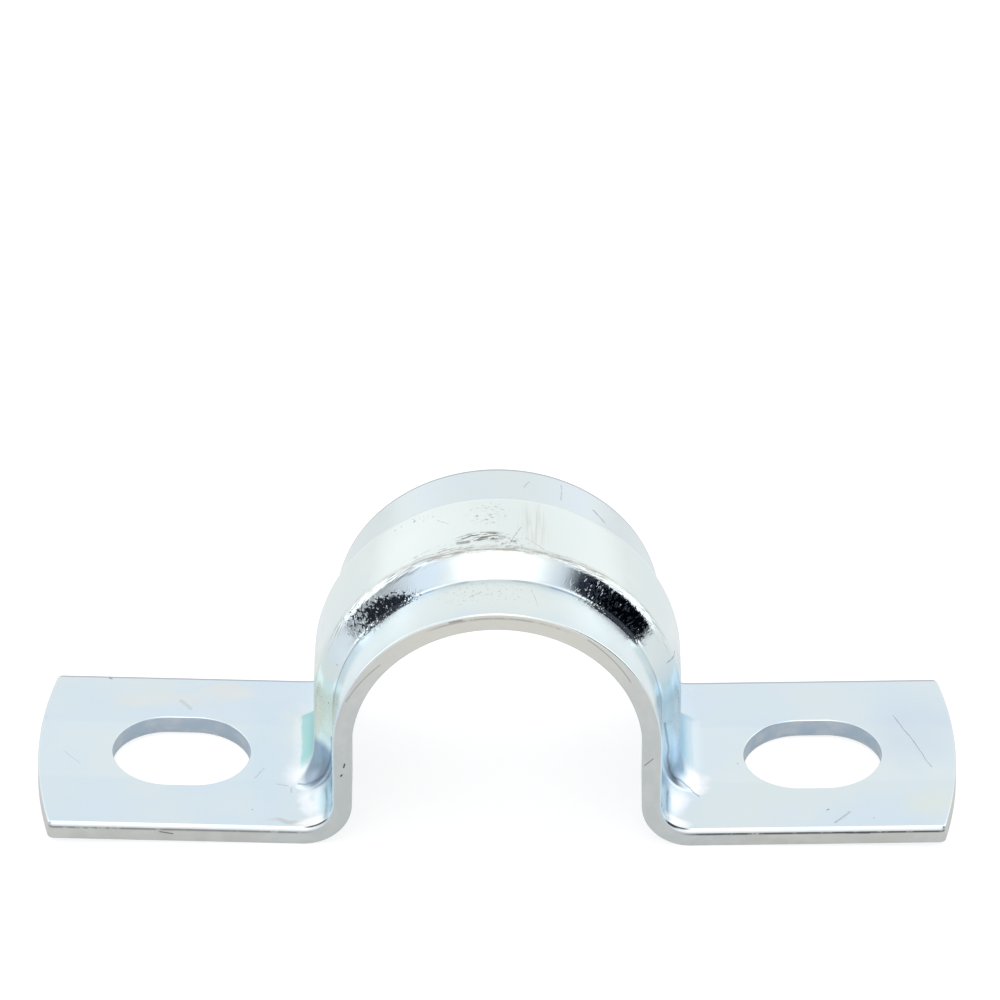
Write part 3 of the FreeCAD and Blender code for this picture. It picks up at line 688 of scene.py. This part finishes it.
# Colours, as linear shares of red, green and blue.
FILM_BLUE = (0.655, 0.765, 0.85)
FILM_PALE = (0.70, 0.785, 0.81)
CROWN_CREAM = (0.71, 0.775, 0.775)
BEAD_CREAM = (0.785, 0.86, 0.845)
# Painted teal and blue reflections on the bead's toes.
NOSE_TEAL_REFLECTION = (0.37, 0.66, 0.65)
NOSE_BLUE_REFLECTION = (0.38, 0.62, 0.75)
STREAK_TAN = (0.60, 0.53, 0.42)
EDGE_DIRT = (0.30, 0.25, 0.20)
# Painted shade in the creases at the root of the bead's front flank.
CREASE_SHADE_BLUE = (0.14, 0.19, 0.29)
SMEAR_BROWN = (0.13, 0.11, 0.09)
STROKE_GREY = (0.12, 0.11, 0.10)
SHEARED_LEG = (0.56, 0.595, 0.60)
SHEARED_CROWN = (0.68, 0.675, 0.625)
SHEARED_FOOT = (0.56, 0.57, 0.55)
# The slots' walls: sheared grey, darker and bluer with painted shade of the recess.
SHEARED_SLOT_SHADED = (0.40, 0.49, 0.58)
SHEARED_BRIGHT = (0.72, 0.73, 0.72)
REAR_LINE = (0.22, 0.22, 0.27)
NICK_BLACK = (0.05, 0.045, 0.04)
# Painted shade lines under the rims and a painted dark reflection at the heels.
PAINTED_EDGE_DARK = (0.10, 0.10, 0.11)
# Painted dark reflection in two patches on the bead's front flank.
DARK_REFLECTION_BLACK = (0.007, 0.011, 0.021)
RUBBED_GREY = (0.14, 0.15, 0.18)


def stroke(g, place, start_x, start_y, end_x, end_y, width):
    """1 on a thin line between two points of the sheet, fading to 0 past its width."""
    run = Vector((end_x - start_x, end_y - start_y, 0))
    offset = g.vector("SUBTRACT", place, (start_x, start_y, 0))
    share = g.node("ShaderNodeVectorMath", {0: offset, 1: run / run.length_squared},
                   operation="DOT_PRODUCT").outputs["Value"]
    share = g.ramp(share, 0, 1, smooth=False)
    nearest = g.node("ShaderNodeVectorMath", {0: run, "Scale": share}, operation="SCALE").outputs[0]
    gap = g.node("ShaderNodeVectorMath", {0: offset, 1: nearest}, operation="DISTANCE").outputs["Value"]
    return g.fade(gap, width * 0.35, width)


def marks(g, place, lines):
    """The darkest of several strokes, each given by its ends, its width and its darkness."""
    found = 0.0
    for *ends, width, darkness in lines:
        found = g.math("MAXIMUM", g.times(stroke(g, place, *ends, width), darkness), found)
    return found


def patch(g, place, centre, size, soft=0.9):
    """1 in the middle of an oval patch of the sheet, fading to 0 a little outside its half sizes."""
    offset = g.vector("SUBTRACT", place, (*centre, 0))
    scaled = g.vector("MULTIPLY", offset, (1 / size[0], 1 / size[1], 0))
    reach = g.node("ShaderNodeVectorMath", {0: scaled}, operation="LENGTH").outputs["Value"]
    return g.fade(reach, 1.15 - soft, 1.15)


class Sheet:
    """Where a point lies on the flat sheet, in millimetres, and what kind of surface it is."""

    def __init__(self, g):
        self.blank = g.node("ShaderNodeAttribute", attribute_name="blank").outputs["Vector"]
        zones = g.node("ShaderNodeAttribute", attribute_name="zones").outputs["Vector"]
        self.cut, self.flank, self.slot_wall = g.split(zones)
        self.run, self.y, self.depth = g.split(self.blank)
        self.reach = g.math("ABSOLUTE", self.run)
        self.side = g.math("ABSOLUTE", self.y)
        self.upper = g.fade(self.depth, 0.5, 1.0)

    def waver(self, g):
        """Adds places that waver: a lot, for clouds, and a little, for marks."""
        warp = g.node("ShaderNodeTexNoise", {"Vector": self.blank, "Scale": 0.35, "Detail": 3.0})
        warp = warp.outputs["Color"]
        shifted = g.vector("MULTIPLY_ADD", warp, (3.0, 3.0, 0), self.blank)
        self.cloudy = g.vector("SUBTRACT", shifted, (1.5, 1.5, 0))
        shifted = g.vector("MULTIPLY_ADD", warp, (0.5, 0.5, 0), self.blank)
        self.wobbly = g.vector("SUBTRACT", shifted, (0.25, 0.25, 0))
        self.wobbly_reach = g.math("ABSOLUTE", g.split(self.wobbly)[0])


def film_and_painted_light(g, sheet):
    """The colour: the passivated coat, blue with paler clouds and creamier on the bead, placed tints, painted
    highlights and reflections, and painted teal and blue reflections where the bead ends on the feet."""
    reach, y = sheet.reach, sheet.y
    cloud = g.noise(sheet.cloudy, 0.07, 3.0)
    colour = g.mix(g.ramp(cloud, 0.4, 0.66), FILM_BLUE, FILM_PALE)
    creamy = g.times(g.ramp(reach, 7, 27, 0.8, 0.0), g.ramp(g.noise(sheet.cloudy, 0.16), 0.3, 0.6, 0.4, 1.0))
    colour = g.mix(creamy, colour, CROWN_CREAM)
    on_bead = g.times(g.ramp(sheet.side, 4.0, 4.8, 0.8, 0), g.ramp(reach, 9, 24, 1, 0.3))
    colour = g.mix(on_bead, colour, BEAD_CREAM)
    for centre, size, tint, strength, soft in TINTS_AND_PAINTED_LIGHT:
        place = sheet.cloudy if soft > CLOUDY_SOFTNESS else sheet.wobbly
        colour = g.mix(g.times(patch(g, place, centre, size, soft), sheet.upper, strength), colour, tint)
    # Painted teal and blue reflections where the bead's toes turn out onto the feet.
    nose_reflection = g.times(g.ramp(y, -3.8, -1.6), g.fade(y, 5.4, 6.4), g.ramp(reach, 30.5, 33.0),
                   g.fade(sheet.wobbly_reach, 35.2, 35.5), sheet.upper)
    colour = g.mix(g.times(nose_reflection, g.fade(sheet.run, -1, 1), 0.9), colour, NOSE_TEAL_REFLECTION)
    return g.mix(g.times(nose_reflection, g.ramp(sheet.run, -1, 1), g.ramp(reach, 33.2, 35.4, 0.95, 0.3)),
                 colour, NOSE_BLUE_REFLECTION)


def dirt_and_crease_shade(g, sheet, colour):
    """The colour under brown smears where the bead's top was handled, warm streaks, grime along the bead's
    front shoulder, stray specks, painted shade in the creases, and scratches. Also gives the smears and the
    scratches."""
    blank, wobbly, reach, side, y, upper = (
        sheet.blank, sheet.wobbly, sheet.reach, sheet.side, sheet.y, sheet.upper)
    fine = g.noise(blank, 2.4, 6.0, 0.65)
    drawn = g.noise(g.stretched(blank, 0.12, 1.1, 0.22), 1.0, 5.0, 0.62)
    smear = g.most([
        g.times(g.ramp(drawn, 0.49, 0.54), patch(g, wobbly, (-1.3, -1.9), (2.3, 0.75), 0.5), 1.0),
        g.times(g.ramp(drawn, 0.54, 0.62), patch(g, wobbly, (-4.5, -3.2), (4.0, 1.0)), 0.8),
        g.times(g.ramp(fine, 0.55, 0.59), patch(g, wobbly, (-0.8, 1.6), (1.9, 2.0)), 0.6),
        g.times(g.ramp(fine, 0.50, 0.62), patch(g, wobbly, (0.9, -2.9), (1.8, 1.2)), 0.8),
        g.times(g.ramp(fine, 0.58, 0.64), patch(g, wobbly, (-8.0, 2.9), (3.4, 1.0)), 0.7),
        g.times(g.ramp(fine, 0.56, 0.66), patch(g, sheet.cloudy, (-1.0, -8.3), (5.0, 2.0)), 0.5)])
    smear = g.times(smear, upper)
    streaks = g.times(g.ramp(g.noise(g.stretched(blank, 0, 0.28, 7.0), 1.0, 3.0), 0.42, 0.62),
                      patch(g, wobbly, (3.0, 0.2), (1.6, 4.2)), upper)
    drawn_dirt = g.ramp(g.noise(g.stretched(blank, 0, 1.5, 0.3), 1.0, 6.0, 0.7), 0.40, 0.58, 0.1, 1.0)
    shoulder_dirt = g.times(drawn_dirt, g.ramp(y, -4.5, -4.2), g.fade(y, -4.0, -3.2),
                            g.ramp(reach, 6, 13, 1, 0.35), g.fade(reach, 13, 19))
    specks = g.ramp(g.noise(blank, 1.7, 3.0, 0.6), 0.735, 0.76)
    scratches = g.times(marks(g, wobbly, STROKES), upper, g.ramp(fine, 0.36, 0.52, 0.25, 1.0))
    # Painted shade in the creases where the front flank turns out onto the feet, and along its root down the
    # legs.
    crease_shade = marks(g, wobbly, [(*start, *end, *CREASE_SHADE_MARK)
                               for path in CREASE_SHADE_LINES for start, end in zip(path, path[1:])])
    root_shade = g.times(g.ramp(side, 6.12, 6.28), g.fade(side, 6.4, 6.6), upper, g.fade(reach, 22, 31),
                        g.ramp(g.noise(g.stretched(blank, 0, 5.0, 5.0), 1.0, 2.0), 0.4, 0.6, 0.15, 0.6))
    colour = g.mix(g.times(streaks, 0.4), colour, STREAK_TAN)
    colour = g.mix(g.times(shoulder_dirt, 0.65), colour, EDGE_DIRT)
    colour = g.mix(g.math("MAXIMUM", root_shade, g.times(crease_shade, upper)), colour, CREASE_SHADE_BLUE)
    colour = g.mix(g.times(g.most([smear, specks]), 0.85), colour, SMEAR_BROWN)
    return g.mix(scratches, colour, STROKE_GREY), smear, scratches


def sheared_edge(g, sheet, colour, nicks):
    """The colour with the sheared edge: duller and greyer, with nicks, painted shade on the slots' walls,
    painted shade lines under its front rims and a painted dark reflection on the heels' rolled edge.
    """
    reach, y, depth = sheet.reach, sheet.y, sheet.depth
    edge_colour = g.mix(g.fade(reach, 6, 24), SHEARED_LEG, SHEARED_CROWN)
    edge_colour = g.mix(g.ramp(reach, 36, 42), edge_colour, SHEARED_FOOT)
    # The slots' walls get painted shade, darker and bluer than the other sheared faces.
    edge_colour = g.mix(sheet.slot_wall, edge_colour, SHEARED_SLOT_SHADED)
    band = g.noise(g.stretched(sheet.blank, 0, 1.6, 1.6), 1.0, 4.0)
    edge_colour = g.mix(g.ramp(band, 0.35, 0.7, 0, 0.3), edge_colour, SHEARED_BRIGHT)
    colour = g.mix(sheet.cut, colour, edge_colour)
    lined = g.math("MAXIMUM", g.ramp(reach, 33.5, 36),
                   g.times(g.ramp(reach, 5, 8, 0.6, 0), g.math("SUBTRACT", 1.0, sheet.slot_wall)))
    # Painted shade: a dark line under the rolled rim along the front of the feet and the crown.
    rim_shade_line = g.times(g.ramp(depth, 0.34, 0.42), g.fade(depth, 0.5, 0.66), sheet.cut,
                       g.fade(y, -11.7, -11.5), lined,
                       g.ramp(g.noise(sheet.blank, 0.8, 4.0, 0.7), 0.36, 0.50, 0.2, 0.75),
                       g.ramp(sheet.run, 30, 38, 0.8, 1.3))
    # Painted dark reflection on the heels' rolled edge.
    heel_dark_reflection = g.times(g.ramp(depth, 0.01, 0.03), g.fade(depth, 0.07, 0.13), g.fade(y, -11.5, -11.3),
                        g.ramp(reach, 32.0, 32.8), g.fade(reach, 34.2, 35.4))
    rear_line = g.times(g.ramp(y, 11.38, 11.52), g.math("SUBTRACT", 1.0, sheet.slot_wall),
                        g.ramp(depth, 0.2, 0.4, 0.55, 0.0))
    colour = g.mix(rear_line, colour, REAR_LINE)
    colour = g.mix(nicks, colour, NICK_BLACK)
    return g.mix(g.most([rim_shade_line, heel_dark_reflection]), colour, PAINTED_EDGE_DARK)


def flank_dark_reflection(g, sheet, colour):
    """The colour of the bead's front flank with two patches of painted dark reflection, broken into dense
    dark flecks that thin out at the patches' edges, and fine scratches along the shoulder. Also gives the
    patches' mask, which the flank's scuff relief also follows, and how rubbed the flank is."""
    blank, run, y, reach = sheet.blank, sheet.run, sheet.y, sheet.reach
    tilted = g.math("ADD", y, g.math("MULTIPLY", g.math("ADD", run, 12.0), 0.25))
    left_patch = g.times(g.ramp(run, -17.5, -13.0), g.fade(run, -9.5, -5.0), g.fade(tilted, -5.3, -4.1),
                         g.ramp(patch(g, blank, (-10.8, -5.7), (3.6, 1.3)), 0.0, 1.0, 0.82, 1.18))
    right_patch = g.times(g.ramp(run, 5.0, 12.5), g.fade(run, 14.2, 16.6), g.fade(y, -5.0, -4.1), 1.38)
    scuffs_and_dark_reflection = g.times(g.math("ADD", left_patch, right_patch), sheet.upper, g.ramp(y, -6.95, -6.8))
    # Painted dark reflection: flecks over the two patches, dense in their middles.
    flecks = g.most([g.noise(g.stretched(blank, math.radians(turn), length, 0.17), 1.0, 2.0)
                     for turn, length in ((48, 0.42), (100, 0.3), (140, 0.45))])
    flecks = g.ramp(g.math("ADD", flecks, g.math("MULTIPLY", scuffs_and_dark_reflection, 0.24)), 0.725, 0.785)
    colour = g.mix(g.times(flecks, g.ramp(scuffs_and_dark_reflection, 0.02, 0.4), 0.975), colour, DARK_REFLECTION_BLACK)
    rubbed = g.times(g.ramp(y, -4.9, -4.3), g.fade(y, -4.0, -3.5), g.ramp(reach, 4, 8), g.fade(reach, 15, 20))
    scratched = g.ramp(g.noise(g.stretched(blank, math.radians(9), 1.8, 0.13), 1.0, 2.0), 0.55, 0.60)
    return g.mix(g.times(scratched, rubbed, 0.65), colour, RUBBED_GREY), scuffs_and_dark_reflection, rubbed


def gloss(g, sheet, smear, scratches):
    """Roughness: mirror-like where the die burnished the flank, softer on the sheet, duller at the toes and
    on smears and scratches, and dull on the sheared edge."""
    reach = sheet.reach
    rough = g.ramp(g.noise(sheet.cloudy, 0.5, 4.0), 0.3, 0.75, 0.13, 0.24)
    rough = g.math("SUBTRACT", rough, g.math("MULTIPLY", sheet.flank, 0.07))
    toes = g.times(g.ramp(reach, 18.0, 26.0, 0.0, 0.16), g.fade(reach, 34.5, 36.5),
                   g.ramp(sheet.y, -8.2, -6.8))
    rough = g.math("ADD", rough, g.math("ADD", toes, g.times(toes, g.ramp(reach, 28.0, 31.0), 0.5)))
    rough = g.math("ADD", rough, g.math("MULTIPLY", g.most([smear, scratches]), 0.3))
    plated = g.math("MULTIPLY", rough, g.math("SUBTRACT", 1.0, sheet.cut))
    return g.math("ADD", plated, g.math("MULTIPLY", sheet.cut, 0.36))


def relief(g, sheet, scuffs_and_dark_reflection, rubbed):
    """Height in micrometres: slow waves, orange peel, the flank's scuffs and ridges, and shear lines."""
    blank = sheet.blank
    scuff_bumps = g.ramp(g.noise(g.stretched(blank, 1.2, 0.5, 0.26), 1.0, 1.0), 0.58, 0.68)
    scuffs = g.times(scuffs_and_dark_reflection, scuff_bumps, 26.0)
    cells = g.noise(g.stretched(blank, math.radians(14), 1.4, 0.25), 1.0, 1.0, 0.6)
    ridges = g.times(rubbed, g.math("ABSOLUTE", g.math("SUBTRACT", cells, 0.5)), 50.0)
    marked = g.math("ADD", scuffs, ridges)
    waves = g.math("MULTIPLY", g.noise(blank, 0.16, 2.0), 22.0)
    peel = g.math("MULTIPLY", g.noise(blank, 1.1, 3.0), 2.2)
    height = g.math("ADD", g.math("ADD", waves, peel), marked)
    shear = g.times(g.noise(g.vector("MULTIPLY", blank, (5.0, 5.0, 0.7)), 1.0, 3.0), sheet.cut, 9.0)
    return g.math("ADD", height, shear)


def zinc():
    """Bright zinc plate on pressed steel. Cycles keeps a shader's values on a small stack, and this one
    is nearly full, so the nicks come first, every list of marks is a chain, and the relief leaves the
    scratches out."""
    material = bpy.data.materials.new("zinc_plate")
    material.use_nodes = True
    g = Graph(material.node_tree)
    g.nodes.clear()
    sheet = Sheet(g)
    nicks = g.times(marks(g, g.join(sheet.run, sheet.depth), NICKS), g.fade(sheet.y, -11.6, -11.4))
    sheet.waver(g)
    colour, smear, scratches = dirt_and_crease_shade(g, sheet, film_and_painted_light(g, sheet))
    colour = sheared_edge(g, sheet, colour, nicks)
    colour, scuffs_and_dark_reflection, rubbed = flank_dark_reflection(g, sheet, colour)
    rough = gloss(g, sheet, smear, scratches)
    height = relief(g, sheet, scuffs_and_dark_reflection, rubbed)
    bump = g.node("ShaderNodeBump", {"Strength": 1.0, "Distance": 1e-6, "Height": height})
    shader = g.node("ShaderNodeBsdfPrincipled", {"Metallic": 1.0, "Base Color": colour, "Roughness": rough,
                                                 "Normal": bump.outputs[0]})
    output = g.node("ShaderNodeOutputMaterial")
    g.links.new(shader.outputs[0], output.inputs[0])
    return material


strap.data.materials.append(zinc())


# The camera, level in the strap's length, looking down at it. FOCAL_SHARE is its lens over its sensor.
VIEW_ELEVATION = math.radians(34.83)
VIEW_ROLL = math.radians(0.29)
VIEW_DISTANCE = 906.8 * MM
FOCAL_SHARE = 9.7955
SENSOR = 36.0
TARGET = Vector(((BOX_LOW.x + BOX_HIGH.x) / 2 + 0.15 * MM, 0.0, BOX_HIGH.z + 2.69 * MM))

camera_data = bpy.data.cameras.new("camera")
camera_data.sensor_width = SENSOR
camera_data.lens = SENSOR * FOCAL_SHARE
camera_data.clip_start = 0.01
camera_data.clip_end = 50
camera = bpy.data.objects.new("camera", camera_data)
bpy.context.collection.objects.link(camera)
back = Vector((0, -math.cos(VIEW_ELEVATION), math.sin(VIEW_ELEVATION)))
camera.matrix_world = (Matrix.Translation(TARGET + back * VIEW_DISTANCE)
                       @ back.to_track_quat("Z", "Y").to_matrix().to_4x4()
                       @ Matrix.Rotation(VIEW_ROLL, 4, "Z"))
bpy.context.scene.camera = camera
bpy.context.scene.view_settings.view_transform = "Standard"


# The floor: white to the camera, bright to reflections, and still shaded where the strap stands on it.
FLOOR_HALF = 3.0
FLOOR_CORNERS = [(x * FLOOR_HALF, y * FLOOR_HALF, 0) for x, y in ((-1, -1), (1, -1), (1, 1), (-1, 1))]
floor_mesh = bpy.data.meshes.new("floor")
floor_mesh.from_pydata(FLOOR_CORNERS, [], [(0, 1, 2, 3)])
floor = bpy.data.objects.new("floor", floor_mesh)
bpy.context.collection.objects.link(floor)


def floor_material():
    """A pale diffuse floor that also glows: most to the camera, and some to glossy surfaces."""
    material = bpy.data.materials.new("floor")
    material.use_nodes = True
    g = Graph(material.node_tree)
    g.nodes.clear()
    output = g.node("ShaderNodeOutputMaterial")
    paths = g.node("ShaderNodeLightPath").outputs
    seen = g.math("MAXIMUM", paths["Is Camera Ray"], paths["Is Transmission Ray"])
    strength = g.math("MAXIMUM", g.math("MULTIPLY", seen, 0.74),
                      g.math("MULTIPLY", paths["Is Glossy Ray"], 0.5))
    diffuse = g.node("ShaderNodeBsdfDiffuse", {"Color": (0.36, 0.36, 0.36, 1)})
    glow = g.node("ShaderNodeEmission", {"Color": (1, 1, 1, 1), "Strength": strength})
    both = g.node("ShaderNodeAddShader", {0: diffuse.outputs[0], 1: glow.outputs[0]})
    g.links.new(both.outputs[0], output.inputs[0])
    return material


floor_mesh.materials.append(floor_material())


# The room: a white tent with bright sides, a bright panel over the camera and dark gaps beside it.

def room():
    world = bpy.data.worlds.new("room")
    bpy.context.scene.world = world
    world.use_nodes = True
    g = Graph(world.node_tree)
    g.nodes.clear()
    output = g.node("ShaderNodeOutputWorld")
    paths = g.node("ShaderNodeLightPath").outputs
    way = g.node("ShaderNodeTexCoord").outputs["Generated"]
    axes = g.split(way)

    # Directions in degrees: azimuth from the camera's side, to the right, and rise above the horizon.
    azimuth = g.math("DEGREES", g.math("ARCTAN2", axes[0], g.math("MULTIPLY", axes[1], -1.0)))
    turn = g.math("ABSOLUTE", azimuth)
    rise = g.math("DEGREES", g.math("ARCSINE", axes[2]))

    def window(value, low, high, soft):
        """1 between two limits and 0 outside them."""
        return g.times(g.ramp(value, low - soft, low + soft), g.fade(value, high - soft, high + soft))

    # The tent is darker near the floor and overhead, and brighter at both sides and behind the camera.
    level = g.math("MULTIPLY", g.ramp(rise, -2, 12, 0.92, 1.08), g.ramp(rise, 14, 38, 1.0, 0.93))
    sides = g.times(g.ramp(turn, 76, 92), g.fade(turn, 112, 146), window(rise, -4, 60, 8))
    front = g.times(g.fade(turn, 26, 42), window(rise, -20, 80, 6))
    level = g.math("ADD", level, g.math("ADD", g.times(sides, 0.55), g.times(front, 0.25)))

    # The panel lies level above the strap, so its limits are slopes sideways and onward from there.
    up = g.math("MAXIMUM", axes[2], 0.05)
    sideways = g.math("ABSOLUTE", g.math("DIVIDE", axes[0], up))
    onward = g.math("DIVIDE", axes[1], up)
    panel = g.times(g.fade(sideways, 0.0, 0.63), window(onward, -1.0, 0.42, 0.1), g.ramp(axes[2], 0.3, 0.45))
    level = g.math("ADD", level, g.math("MULTIPLY", panel, 0.75))

    # A gap starts 58 degrees round to the left and 46 degrees round to the right, where it is darker.
    right = g.ramp(azimuth, -5, 5)
    near = g.math("ADD", 58, g.math("MULTIPLY", right, -12))
    gap = g.times(g.ramp(g.math("SUBTRACT", turn, near), -8, 6), g.fade(turn, 76, 86),
                  window(rise, -12, 42, 5))
    shade = g.math("MULTIPLY", gap, g.math("ADD", 0.5, g.math("MULTIPLY", right, 0.48)))
    colour = g.mix(shade, (1.0, 1.0, 1.0), (0.01, 0.016, 0.035))

    # The camera itself sees plain white.
    colour = g.mix(paths["Is Camera Ray"], colour, (1.0, 1.0, 1.0))
    level = g.math("ADD", g.math("MULTIPLY", level, g.math("SUBTRACT", 1.0, paths["Is Camera Ray"])),
                   paths["Is Camera Ray"])
    background = g.node("ShaderNodeBackground", {"Color": colour, "Strength": level})
    g.links.new(background.outputs[0], output.inputs[0])


room()
